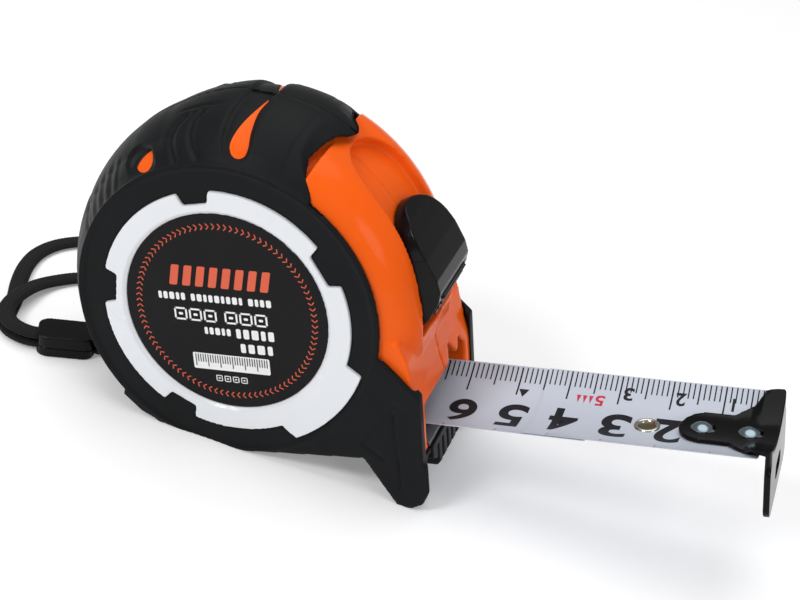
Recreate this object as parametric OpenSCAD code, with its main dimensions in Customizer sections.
// Pocket tape measure with a 25 mm blade, standing on its two front feet and its heel.
// The sub-parts are drawn level, around the reel's axle, and then tipped nose up on to the feet.

/* [Case] */
// Radius of the case's crown, at the middle of its width
case_r = 36.9; // [36.6:0.1:37.2]
// Half the width of the hard case
case_half_w = 17.2; // [17:0.1:17.4]
// Depth of the case's flat base below the axle
case_base = 27.6; // [27.4:0.1:27.8]
// How far the nose stands in front of the axle
nose_x = 36.4; // [36.2:0.1:36.6]

/* [Armour] */
// Radius of the rubber's crown, at the middle of its width
armour_r = 38; // [37.8:0.1:38.4]
// Half the width of the object over the rubber
armour_half_w = 18.2; // [18:0.1:18.4]
// Depth of the rubber's base below the axle
armour_base = 28.4; // [28.2:0.1:28.6]

/* [Bezel and label] */
// Outer radius of the white bezel
bezel_r = 24.7; // [24.4:0.1:25]
// Radius of the window that the label fills
label_r = 20.2; // [19.8:0.1:20.4]

/* [Blade] */
// Half the width of the blade between its edges
blade_half_w = 12.2; // [12:0.1:12.4]
// Radius of the blade's hollow curve
blade_curve_r = 24.2; // [24:0.1:24.6]
// How far the hook's inner face stands in front of the axle
hook_x = 98.7; // [97:0.1:100]
// Length of the hook below the blade's edge
hook_drop = 13.4; // [12:0.1:14]

/* [Lock] */
// Half the width of the thumb button
button_half_w = 9; // [8.6:0.1:9.2]
// Angle of the button's lower edge, up from the blade's direction
button_low_deg = -7; // [-7.5:0.5:-6.5]
// Angle of the button's upper edge
button_top_deg = 30; // [29:0.5:31]

/* [Belt clip] */
// Width of the clip's spring leaf
clip_w = 14; // [12:1:16]
// Free gap behind the clip's spring leaf
clip_gap = 4.6; // [4.4:0.1:5]

/* [Wrist cord] */
// Width of the flat braided cord
cord_w = 3.8; // [3.6:0.1:4]
// Thickness of the flat braided cord
cord_t = 1.7; // [1.5:0.1:1.7]

/* [Hidden] */
left = -1;
right = 1;
$fn = 96;

// The floor, seen from the level tape: a line that falls floor_slope for each millimetre forwards
floor_slope = 0.256;
floor_z = -29.94;
pitch = atan(floor_slope);
axle_h = -floor_z * cos(pitch);

// Case and armour
flank_c = 14.3;
cavity_r = 33;
cavity_half_w = 15.4;
nose_cavity_half_w = 13.4;
cavity_floor = 26.8;
heel_rubber_t = 0.75;
heel_wall_t = 1;
rubber_top_deg = 57.5;
far_away = 80;
foot_inner = 12.8;
foot_outline = [
    [25, -28.4], [30, -36.4], [31, -37.9], [33.6, -38.6], [36.2, -37.3], [37.8, -34],
    [37.8, -28.5], [36.8, -28.5], [36.9, -14], [30.2, -7], [20, -7]
];
heel_outline = [
    [-8, -30.5], [-17.3, -27.3], [-17.7, -25], [-20.5, -23.5], [-24, -20], [-22, -15], [0, -10]
];
side_plate_r = 30;
// Deeper than the feet reach
feet_depth = 45;
// A counterbore over each case screw's head, and the clearance round a shank or head
counterbore_y = 15.6;
screw_play = 0.15;

// Screws that close the case: [forwards, upwards] from the axle
screw_spots = [[22.5, -13], [6.9, 25.6], [-18.7, 18.7], [-24, -11.2]];
boss_r = 2.4;
screw_r = 0.95;
screw_head_r = 1.9;
post_r = 3;
post_pilot_r = 1.45;
post_shank_r = 1.4;
wall_hole_r = 1.5;

// Lock
track_r = 34.4;
track_half_w = 9.6;
button_base_r = 34.7;
slider_r = 32.6;
slider_t = 1.9;
slider_half_w = 8;
stem_half_w = 3;
// The round ends are this much slimmer than the straight stretch, so that no faces just touch
arch_ease = 0.1;
// The button's outer face: [radius, angle]
button_face = [
    [35.2, -7], [36.9, -3.2], [38.8, 2], [39.4, 5], [39.2, 8.5], [38.2, 15], [37.3, 21],
    [36.7, 26], [35.6, 30]
];

// Blade: its hollow side is struck from blade_c, above it
blade_t = 0.15;
blade_edge_z = -22.26;
blade_c = blade_edge_z + sqrt(blade_curve_r * blade_curve_r - blade_half_w * blade_half_w);
front_x0 = 54;
front_x1 = hook_x - 1.4;
rear_x0 = 23;
rear_x1 = 66;
rear_drop = 0.35;
eyelet_x = hook_x - 23.2;
rivet_x = [hook_x - 13, hook_x - 4.2];
rivet_r = 1.3;
hook_t = 1.2;
hook_play = 1.2;
tongue_t = 0.8;
tongue_gap = 0.15;

// Reel
coil_r0 = 13.8;
coil_r1 = 21.3;
drum_r = 13.6;
chamber_r = 12.2;
flange_r = 22.5;
flange_y = 12.9;
flange_t = 0.8;
reel_bore_r = 3.05;

// Wrist cord: its route on the floor, from the anchor, through the connector, round the loop and back
cord_route = [
    [-26.8, -3.2, 1.3], [-29.4, -3.2, 1.3], [-32.2, -3.6, 1.2], [-35, -4.6, 1.2], [-39, -6.3, 1.2],
    [-41.8, -7.5, 1.2], [-44.8, -8.1, 1.2], [-48.6, -7.1, 1.1], [-51.4, -4.3, 1], [-52.6, -0.5, 0.9],
    [-54, 4.5, 0.9], [-56.4, 10.6, 0.9], [-58.2, 17, 0.9], [-58.6, 23, 0.9], [-57, 28.5, 0.9],
    [-53.4, 33, 0.9], [-48, 37, 0.9], [-41, 40, 0.9], [-33, 42, 0.9], [-24, 43, 0.9],
    [-15, 42.6, 0.9], [-8.5, 39.5, 0.9], [-5.6, 33.5, 0.9], [-8.5, 27.5, 0.9], [-15, 24.6, 0.9],
    [-24, 24, 0.9], [-33, 23.8, 0.9], [-40.5, 22.4, 0.9], [-46.2, 19.4, 0.9], [-50, 15, 1.1],
    [-52, 10, 1.8], [-52.6, 4.5, 2.6], [-52.6, -0.5, 2.8], [-51.4, -4.3, 2.9], [-48.6, -7.1, 3],
    [-44.8, -8.1, 3.1], [-41.8, -7.5, 3.1], [-39, -6.3, 3.1], [-35, -4.6, 3.1], [-32.2, -3.6, 3.1],
    [-29.4, -3.2, 3.2], [-26.8, -3.2, 3.2]
];
cord_sides = 8;
anchor_x = -26.8;
anchor_y = -3.2;
connector_at = [-37, -5.45];
connector_turn = 23.2;
connector_l = 11.6;
connector_w = 7.4;
connector_low = 0.1;
connector_split = 2.15;
connector_top_z = 4.7;

// ---- Helpers ----

// Tips a level sub-part nose up on to the floor
module stand() {
    translate([0, 0, axle_h]) rotate([0, -pitch, 0]) children();
}

// Extrudes a side outline, drawn [forwards, upwards], from y0 to y1
module across(y0, y1) {
    translate([0, y1, 0]) rotate([90, 0, 0]) linear_extrude(y1 - y0) children();
}

// Turns a profile, drawn [radius, y], about the axle
module about_axle() {
    mirror([0, 1, 0]) rotate([90, 0, 0]) rotate_extrude() children();
}

// Extrudes a section, drawn [y, upwards], along the blade from x0 to x1
module along_blade(x0, x1) {
    translate([x0, 0, 0]) rotate([90, 0, 90]) linear_extrude(x1 - x0) children();
}

// A round bar across the case at a spot [forwards, upwards]
module bar(spot, r, y0, y1) {
    translate([spot[0], 0, spot[1]]) across(y0, y1) circle(r, $fn = 48);
}

// A round bar that stands out along the radius at an angle
module radial_bar(angle, r, r0, r1) {
    rotate([0, -angle, 0]) translate([r0, 0, 0]) rotate([0, 90, 0]) cylinder(h = r1 - r0, r = r);
}

// The pie slice between two angles
module slice(a0, a1) {
    steps = 8;
    polygon(concat([[0, 0]], [for (i = [0:steps]) far_away * polar(a0 + (a1 - a0) * i / steps)]));
}

// Keeps one side of the middle plane
module half(side) {
    intersection() {
        children();
        translate([-far_away, side == left ? -far_away : 0, -far_away])
            cube([2 * far_away, far_away, 2 * far_away]);
    }
}

// A flat box between two corners
module block(low, high) {
    translate(low) cube(high - low);
}

function polar(a) = [cos(a), sin(a)];

// The side region above the base and, with lift to spare, above the sloping floor
module above_base(depth, lift) {
    turn_x = (floor_z + lift + depth) / floor_slope;
    polygon([
        [-far_away, floor_z + lift + floor_slope * far_away], [turn_x, -depth],
        [far_away, -depth], [far_away, far_away], [-far_away, far_away]
    ]);
}

// A spiral strip from r0 to r1, as one outline
module spiral(r0, r1, turns, thick, per_turn) {
    steps = turns * per_turn;
    rise = (r1 - thick - r0) / steps;
    inner = [for (i = [0:steps]) (r0 + rise * i) * polar(-360 * i / per_turn)];
    outer = [for (i = [steps:-1:0]) (r0 + rise * i + thick) * polar(-360 * i / per_turn)];
    polygon(concat(inner, outer));
}

// ---- Case ----

// Half section of a barrel with a round crown and flat sides
module barrel_profile(crown_r, half_w) {
    intersection() {
        translate([flank_c, 0]) circle(crown_r - flank_c);
        translate([0, -half_w]) square([crown_r, 2 * half_w]);
    }
}

// Half section of the bare front of the case, which is squarer than the barrel
module front_profile() {
    shoulder_r = 9;
    shoulder_y = 8.6;
    intersection() {
        union() {
            translate([0, -shoulder_y]) square([case_r - 0.3, 2 * shoulder_y]);
            for (s = [-1, 1])
                translate([case_r - 0.3 - shoulder_r, s * shoulder_y]) circle(shoulder_r);
            translate([0, -case_half_w]) square([case_r - 0.3 - shoulder_r, 2 * case_half_w]);
        }
        translate([0, -case_half_w]) square([case_r, 2 * case_half_w]);
    }
}

// The nose below the lock, with a lip under the button
module nose_outline() {
    polygon([
        [0, -4], [33.2, -4], [34.9, -8], [nose_x, -17.5], [nose_x, -case_base], [0, -case_base]
    ]);
}

// The whole case before it is hollowed
module case_solid() {
    intersection() {
        union() {
            about_axle() barrel_profile(case_r, case_half_w);
            intersection() {
                about_axle() front_profile();
                across(-far_away, far_away) slice(-16, rubber_top_deg);
            }
            across(-case_half_w, case_half_w) nose_outline();
        }
        across(-far_away, far_away) above_base(case_base, heel_rubber_t);
    }
}

// The hollow for the reel, the blade's path and the mouth
module case_hollow() {
    intersection() {
        about_axle() polygon([
            [0, -cavity_half_w], [28, -cavity_half_w], [cavity_r, -8.5],
            [cavity_r, 8.5], [28, cavity_half_w], [0, cavity_half_w]
        ]);
        across(-far_away, far_away) above_base(cavity_floor, heel_rubber_t + heel_wall_t);
    }
    across(-nose_cavity_half_w, nose_cavity_half_w) polygon([
        [0, -cavity_floor], [33.6, -cavity_floor], [33.6, -17], [32.8, -8.6], [30, -6], [0, -6]
    ]);
    along_blade(33, 40)
        translate([-nose_cavity_half_w, -cavity_floor]) square([2 * nose_cavity_half_w, 8.5]);
    block([24, -12.6, -case_base - 1], [40, 12.6, -cavity_floor + 0.1]);
}

// The curved track that the button slides in, and the slot for its stem
module lock_track() {
    difference() {
        union() {
            across(-track_half_w, track_half_w) slice(-9.5, 38);
            radial_bar(38, track_half_w - arch_ease, 20, 50);
        }
        bar([0, 0], track_r, -20, 20);
    }
    difference() {
        across(-stem_half_w - 0.4, stem_half_w + 0.4) slice(-1, 20.5);
        bar([0, 0], 30, -20, 20);
    }
}

module case_shell(side) {
    pocket_low = [-29.2, anchor_y - 3.2, -axle_h + 0.2];
    difference() {
        union() {
            difference() {
                half(side) case_solid();
                case_hollow();
            }
            for (spot = screw_spots)
                half(side) bar(spot, boss_r, -cavity_half_w - 0.2, cavity_half_w + 0.2);
        }
        lock_track();
        for (spot = screw_spots) {
            bar(spot, side == left ? screw_r + 0.05 : screw_r + screw_play, -10, far_away);
            if (side == right) bar(spot, screw_head_r + screw_play, counterbore_y, far_away);
        }
        bar([0, 0], wall_hole_r, -far_away, far_away);
        if (side == left) bar([0, 0], 2.9, -far_away, -16);
        if (side == right)
            for (notch = [[5.5, 3.4, 2.6], [11, 2.2, 1.8]])
                along_blade(33, 40) polygon([
                    [notch[0] - notch[2], -cavity_floor + 8.4], [notch[0] + notch[2], -cavity_floor + 8.4],
                    [notch[0], -cavity_floor + 8.4 + notch[1]]
                ]);
        rotate([0, pitch, 0]) block(pocket_low, pocket_low + [8.2, 6.4, 4.9]);
    }
}

module left_case() {
    color("orangered") stand() case_shell(left);
}

module right_case() {
    color("orangered") stand() case_shell(right);
}

// ---- Rubber armour ----

module side_plate_outline() {
    circle(side_plate_r);
    polygon(concat(heel_outline, [[0, 0]], [for (i = [len(foot_outline) - 1:-1:0]) foot_outline[i]]));
}

// The barrel and the side plates together, cut off once at the floor
module armour_solid() {
    intersection() {
        union() {
            intersection() {
                about_axle() barrel_profile(armour_r, armour_half_w);
                across(-far_away, far_away) difference() {
                    translate([-far_away, -armour_base]) square([2 * far_away, far_away + armour_base]);
                    slice(-100, rubber_top_deg);
                }
            }
            across(-armour_half_w, armour_half_w) side_plate_outline();
        }
        across(-far_away, far_away) above_base(feet_depth, 0);
    }
}

// Side outline of the bezel, with the rubber's four lands cut out and its one lobe
module bezel_outline() {
    difference() {
        union() {
            circle(bezel_r);
            intersection() {
                circle(28);
                polygon([[0, 0], [23.2, -8.5], [27.2, -11.6], [34, -30], [14.6, -28], [9.2, -23]]);
            }
        }
        for (land = [[28, 9.5], [99, 7.5], [171, 8.5], [241, 8]])
            rotate(land[0]) polygon([
                22.3 * polar(1.2 - land[1]), 27 * polar(-land[1] - 1.2),
                27 * polar(land[1] + 1.2), 22.3 * polar(land[1] - 1.2)
            ]);
    }
}

module armour(side) {
    difference() {
        half(side) armour_solid();
        case_solid();
        across(case_half_w, 20) bezel_outline();
        across(-20, -case_half_w) bezel_outline();
        // between the feet, and the bare front of the case
        block([20, -foot_inner, -60], [60, foot_inner, -armour_base]);
        block([28.6, -foot_inner, -60], [60, foot_inner, -case_base + 0.5]);
        block([28, -15.8, -27.5], [60, 15.8, 0]);
        // the feet lean back on their inner sides
        for (s = [-1, 1])
            translate([0, 0, -45]) linear_extrude(16.5)
                polygon([[37.9, s * 18.3], [42, s * 18.3], [42, s * 12], [35.4, s * 12]]);
        if (side == right)
            for (i = [1:3])
                bar(screw_spots[i], screw_head_r + 0.4, 10, 20);
        rotate([0, pitch, 0]) block([-34, anchor_y - 3.2, -axle_h + 0.2], [-21, anchor_y + 3.2, -axle_h + 5.1]);
    }
}

module left_armour() {
    color([0.12, 0.12, 0.13]) stand() armour(left);
}

module right_armour() {
    color([0.12, 0.12, 0.13]) stand() armour(right);
}

// ---- Bezels and labels ----

module bezel() {
    bezel_t = 1.3;
    difference() {
        across(case_half_w, case_half_w + bezel_t) difference() {
            bezel_outline();
            circle(label_r);
        }
        about_axle() polygon([
            [label_r - 1, case_half_w + bezel_t + 1], [label_r - 1, case_half_w + 0.8],
            [label_r + 0.2, case_half_w + 0.8], [label_r + 1.6, case_half_w + bezel_t + 1]
        ]);
    }
}

module left_bezel() {
    color("white") stand() mirror([0, 1, 0]) bezel();
}

module right_bezel() {
    color("white") stand() bezel();
}

module label_disc(bore_r) {
    label_t = 0.6;
    difference() {
        bar([0, 0], label_r - 0.1, case_half_w, case_half_w + label_t);
        if (bore_r > 0) bar([0, 0], bore_r, 0, 30);
    }
}

module left_label() {
    color([0.1, 0.1, 0.1]) stand() mirror([0, 1, 0]) label_disc(0);
}

module right_label() {
    color([0.1, 0.1, 0.1]) stand() label_disc(wall_hole_r);
}

// ---- Lock ----

module lock_button() {
    rib_half_w = 6.8;
    arch_deg = button_top_deg - button_half_w / button_base_r * 180 / PI;
    color([0.08, 0.08, 0.08]) stand() {
        difference() {
            intersection() {
                across(-button_half_w, button_half_w)
                    polygon(concat([[0, 0]], [for (p = button_face) p[0] * polar(p[1])]));
                union() {
                    across(-20, 20) slice(button_low_deg - 5, arch_deg);
                    radial_bar(arch_deg, button_half_w - arch_ease, 20, 50);
                }
            }
            bar([0, 0], button_base_r, -20, 20);
        }
        for (i = [0:3]) {
            spot = (37.1 + 0.62 * i) * polar(-2.6 + 1.7 * i);
            bar(spot, 0.45, -rib_half_w, rib_half_w);
        }
        difference() {
            intersection() {
                across(-stem_half_w, stem_half_w) slice(1, 8);
                bar([0, 0], button_base_r + 0.5, -20, 20);
            }
            bar([0, 0], slider_r, -20, 20);
        }
    }
}

module slider_arc() {
    difference() {
        intersection() {
            across(-slider_half_w, slider_half_w) slice(-22, 24);
            bar([0, 0], slider_r, -20, 20);
        }
        bar([0, 0], slider_r - slider_t, -20, 20);
    }
}

module lock_slider() {
    color("dimgray") stand() slider_arc();
}

module brake_pad() {
    pad_half_w = 10.4;
    relief_half_w = 7.2;
    color([0.15, 0.15, 0.15]) stand() difference() {
        across(-pad_half_w, pad_half_w) polygon([
            [25.4, -22.85], [28.4, -22.85], [30.2, -15.2], [28.6, -11.6], [26.4, -12.6]
        ]);
        slider_arc();
        block([20, -relief_half_w, -30], [32, relief_half_w, -21]);
    }
}

// ---- Mouth ----

module mouth_bumper() {
    bumper_half_w = 12.3;
    color([0.1, 0.1, 0.1]) stand() difference() {
        across(-bumper_half_w, bumper_half_w) polygon([
            [29, -case_base], [29, -31.5], [30.6, -34], [33, -34.8], [36.2, -34.8], [37, -33.6],
            [37, -case_base]
        ]);
        for (y = [-9:3:9])
            block([36.3, y - 0.5, -40], [38, y + 0.5, -29]);
        for (s = [-1, 1])
            along_blade(20, 40) polygon([
                [s * 13, -29.6], [s * 12.3, -30.4], [s * 8.6, -32.3], [s * 7.2, -36], [s * 14, -36]
            ]);
    }
}

module mouth_plate() {
    color("silver") stand() block([24.2, -12.5, -case_base], [nose_x, 12.5, -cavity_floor]);
}

// ---- Blade and hook ----

// Section of a strip that lies drop below the blade's hollow side
module strip_section(drop, thick, half_w) {
    intersection() {
        difference() {
            translate([0, blade_c]) circle(blade_curve_r + drop + thick);
            translate([0, blade_c]) circle(blade_curve_r + drop);
        }
        translate([-half_w, -40]) square([2 * half_w, 30]);
    }
}

// An upright round hole through the blade
module upright(x, r, z0, z1) {
    translate([x, 0, z0]) cylinder(h = z1 - z0, r = r, $fn = 48);
}

module blade_front() {
    color("whitesmoke") stand() difference() {
        along_blade(front_x0, front_x1) strip_section(0, blade_t, blade_half_w);
        upright(eyelet_x, 1.75, -30, -20);
        for (x = rivet_x)
            upright(x, rivet_r + 0.05, -30, -20);
    }
}

module blade_rear() {
    color("whitesmoke") stand()
        along_blade(rear_x0, rear_x1) strip_section(rear_drop, blade_t, blade_half_w);
}

module blade_eyelet() {
    hollow_z = blade_c - blade_curve_r;
    color("goldenrod") stand() difference() {
        union() {
            upright(eyelet_x, 1.7, hollow_z - blade_t, hollow_z + 0.2);
            upright(eyelet_x, 2.3, hollow_z + 0.12, hollow_z + 0.5);
        }
        upright(eyelet_x, 1.2, -30, -20);
    }
}

// Plan of the hook's tongue: a round end that widens to the full blade
module tongue_plan() {
    tongue_half_w = 5;
    translate([hook_x - 17.2 + tongue_half_w, 0]) circle(tongue_half_w);
    polygon([
        [hook_x - 12.2, -tongue_half_w], [hook_x - 7.5, -tongue_half_w], [hook_x - 4.5, -7],
        [hook_x - 2.6, -blade_half_w], [hook_x + hook_t, -blade_half_w],
        [hook_x + hook_t, blade_half_w], [hook_x - 2.6, blade_half_w], [hook_x - 4.5, 7],
        [hook_x - 7.5, tongue_half_w], [hook_x - 12.2, tongue_half_w]
    ]);
}

module end_hook() {
    corner_r = 2.6;
    nail_slot_r = 1.5;
    nail_slot_half_l = 2.2;
    bend_relief = 0.1;
    low_z = blade_edge_z - hook_drop;
    slot_z = low_z + 5;
    color([0.08, 0.08, 0.08]) stand() difference() {
        union() {
            intersection() {
                along_blade(hook_x - 20, hook_x + hook_t)
                    strip_section(-tongue_gap - tongue_t, tongue_t, blade_half_w);
                translate([0, 0, -40]) linear_extrude(30) tongue_plan();
            }
            along_blade(hook_x, hook_x + hook_t) difference() {
                union() {
                    translate([-blade_half_w, low_z + corner_r])
                        square([2 * blade_half_w, blade_edge_z + 0.6 - low_z - corner_r]);
                    translate([-blade_half_w + corner_r, low_z])
                        square([2 * (blade_half_w - corner_r), 10]);
                    for (s = [-1, 1])
                        translate([s * (blade_half_w - corner_r), low_z + corner_r])
                            circle(corner_r);
                }
                translate([0, blade_c]) circle(blade_curve_r - tongue_gap - tongue_t);
                for (s = [-1, 1])
                    translate([s * nail_slot_half_l, slot_z]) circle(nail_slot_r);
                translate([-nail_slot_half_l, slot_z - nail_slot_r])
                    square([2 * nail_slot_half_l, 2 * nail_slot_r]);
            }
        }
        // behind the blade's end, the plate is relieved, so that work lies flat on the rest of it
        difference() {
            along_blade(hook_x - 1, hook_x + bend_relief)
                translate([0, blade_c]) circle(blade_curve_r + 0.3);
            along_blade(hook_x - 2, hook_x + 1)
                translate([0, blade_c]) circle(blade_curve_r - tongue_gap);
        }
        for (x = rivet_x) {
            for (shift = [-0.1, hook_play + 0.1])
                upright(x + shift, rivet_r + 0.05, -30, -20);
            block([x - 0.1, -rivet_r - 0.05, -30], [x + hook_play + 0.1, rivet_r + 0.05, -20]);
        }
    }
}

module hook_rivets() {
    hollow_z = blade_c - blade_curve_r;
    head_z = hollow_z + tongue_gap + tongue_t + 0.17;
    color("silver") stand() for (i = [0, 1]) {
        upright(rivet_x[i], rivet_r, hollow_z - blade_t, head_z + 0.1);
        translate([rivet_x[i], 0, head_z]) intersection() {
            translate([0, 0, -2.1]) sphere(2.9);
            cylinder(h = 3, r = 2);
        }
    }
}

// ---- Reel ----

module blade_coil() {
    color("lightgray") stand() across(-blade_half_w - 0.2, blade_half_w + 0.2)
        spiral(coil_r0, coil_r1, 7, 0.6, 24);
}

module reel_drum() {
    color("gold") stand() about_axle() {
        translate([chamber_r, -flange_y]) square([drum_r - chamber_r, 2 * flange_y]);
        translate([reel_bore_r, -flange_y - flange_t]) square([flange_r - reel_bore_r, flange_t]);
        translate([chamber_r, flange_y]) square([flange_r - chamber_r, flange_t]);
    }
}

module reel_cover() {
    color("khaki") stand() about_axle()
        translate([reel_bore_r, flange_y]) square([chamber_r - 0.05 - reel_bore_r, flange_t]);
}

module mainspring() {
    color("slategray") stand() across(-blade_half_w, blade_half_w) spiral(4.2, 11.9, 7, 0.5, 20);
}

module centre_post() {
    color("gray") stand() difference() {
        bar([0, 0], post_r, -cavity_half_w, cavity_half_w);
        bar([0, 0], post_pilot_r, -20, -8);
        bar([0, 0], post_pilot_r, 8, 20);
    }
}

module post_screw() {
    color("silver") stand() {
        bar([0, 0], post_shank_r, -16, -9);
        difference() {
            bar([0, 0], 2.8, -case_half_w, -16);
            block([-2, -case_half_w - 1, -0.3], [2, -16.6, 0.3]);
            block([-0.3, -case_half_w - 1, -2], [0.3, -16.6, 2]);
        }
    }
}

module case_screws() {
    color("silver") stand() for (spot = screw_spots) {
        bar(spot, screw_r, -8, 15.7);
        difference() {
            bar(spot, screw_head_r, 15.65, 17);
            translate([spot[0], 0, spot[1]]) {
                block([-1.2, 16.3, -0.25], [1.2, 18, 0.25]);
                block([-0.25, 16.3, -1.2], [0.25, 18, 1.2]);
            }
        }
    }
}

// ---- Belt clip ----

module belt_clip() {
    clip_t = 0.8;
    base_y = case_half_w + 1.3;
    leaf_y = base_y + clip_t + clip_gap;
    bend_r = clip_gap / 2 + clip_t;
    bend_z = 13;
    color("silver") stand() intersection() {
        difference() {
            union() {
                block([-clip_w / 2, base_y, -6], [clip_w / 2, base_y + clip_t, bend_z]);
                block([-clip_w / 2, leaf_y, -13], [clip_w / 2, leaf_y + clip_t, bend_z]);
                translate([-clip_w / 2, (base_y + leaf_y + clip_t) / 2, bend_z]) rotate([0, 90, 0])
                    difference() {
                        cylinder(h = clip_w, r = bend_r);
                        translate([0, 0, -1]) cylinder(h = clip_w + 2, r = bend_r - clip_t);
                        translate([0, -10, -1]) cube([20, 20, clip_w + 2]);
                    }
                translate([0, leaf_y, -13]) rotate([-25, 0, 0])
                    block([-clip_w / 2, 0, -4], [clip_w / 2, clip_t, 0.4]);
            }
            bar([0, 0], wall_hole_r, 0, base_y + 2);
            bar([0, 0], 4, leaf_y - 1, 40);
        }
        across(0, 40) union() {
            translate([-20, -11]) square([40, 40]);
            translate([0, -11]) circle(clip_w / 2);
        }
    }
}

module clip_screw() {
    head_y = case_half_w + 2.1;
    color("silver") stand() {
        bar([0, 0], post_shank_r, 9, head_y);
        difference() {
            bar([0, 0], 3.4, head_y, head_y + 1.4);
            block([-2.2, head_y + 0.7, -0.35], [2.2, head_y + 2, 0.35]);
            block([-0.35, head_y + 0.7, -2.2], [0.35, head_y + 2, 2.2]);
        }
    }
}

// ---- Wrist cord ----

// A plastic block set in the heel, which holds both ends of the cord
module cord_anchor() {
    color([0.1, 0.1, 0.1])
        block([anchor_x, anchor_y - 3.2, 0.2], [anchor_x + 5.6, anchor_y + 3.2, 5.1]);
}

function cord_heading(i) =
    let (
        last = len(cord_route) - 1,
        span = cord_route[min(i + 1, last)] - cord_route[max(i - 1, 0)],
        flat = [span[0], span[1]]
    )
    flat / norm(flat);

function cord_ring(i) = [
    for (k = [0:cord_sides - 1])
        let (
            turn = 360 * (k + 0.5) / cord_sides,
            head = cord_heading(i),
            out = cord_w / 2 * cos(turn),
            up = cord_t / 2 * sin(turn)
        )
        cord_route[i] + [-head[1] * out, head[0] * out, up]
];

module wrist_cord() {
    rings = len(cord_route);
    points = [for (i = [0:rings - 1]) each cord_ring(i)];
    sides = [
        for (i = [0:rings - 2])
            for (k = [0:cord_sides - 1])
                let (next = (k + 1) % cord_sides, a = i * cord_sides, b = a + cord_sides)
                each [[a + k, a + next, b + k], [a + next, b + next, b + k]]
    ];
    start = [for (k = [cord_sides - 1:-1:0]) k];
    finish = [for (k = [0:cord_sides - 1]) (rings - 1) * cord_sides + k];
    color([0.1, 0.1, 0.1]) polyhedron(points, concat(sides, [start], [finish]));
}

// The connector's body, with the channel that both runs of the cord pass through
module connector_shape() {
    nose_r = 2.4;
    translate([connector_at[0], connector_at[1], 0]) rotate(connector_turn) difference() {
        translate([0, 0, connector_low]) linear_extrude(connector_top_z - connector_low) union() {
            square([connector_l, connector_w - 2 * nose_r], center = true);
            square([connector_l - 2 * nose_r, connector_w], center = true);
            for (sx = [-1, 1])
                for (sy = [-1, 1])
                    translate([sx * (connector_l / 2 - nose_r), sy * (connector_w / 2 - nose_r)])
                        circle(nose_r, $fn = 48);
        }
        block([-20, -2.35, 0.3], [20, 2.35, 4.05]);
    }
}

module connector_base() {
    color([0.1, 0.1, 0.1]) intersection() {
        connector_shape();
        block([-60, -30, 0], [-20, 30, connector_split]);
    }
}

module connector_top() {
    color([0.1, 0.1, 0.1]) intersection() {
        connector_shape();
        block([-60, -30, connector_split], [-20, 30, 10]);
    }
}

left_case();
right_case();
left_armour();
right_armour();
left_bezel();
right_bezel();
left_label();
right_label();
lock_button();
lock_slider();
brake_pad();
mouth_bumper();
mouth_plate();
blade_front();
blade_rear();
blade_eyelet();
end_hook();
hook_rivets();
blade_coil();
reel_drum();
reel_cover();
mainspring();
centre_post();
post_screw();
case_screws();
belt_clip();
clip_screw();
cord_anchor();
connector_base();
connector_top();
wrist_cord();
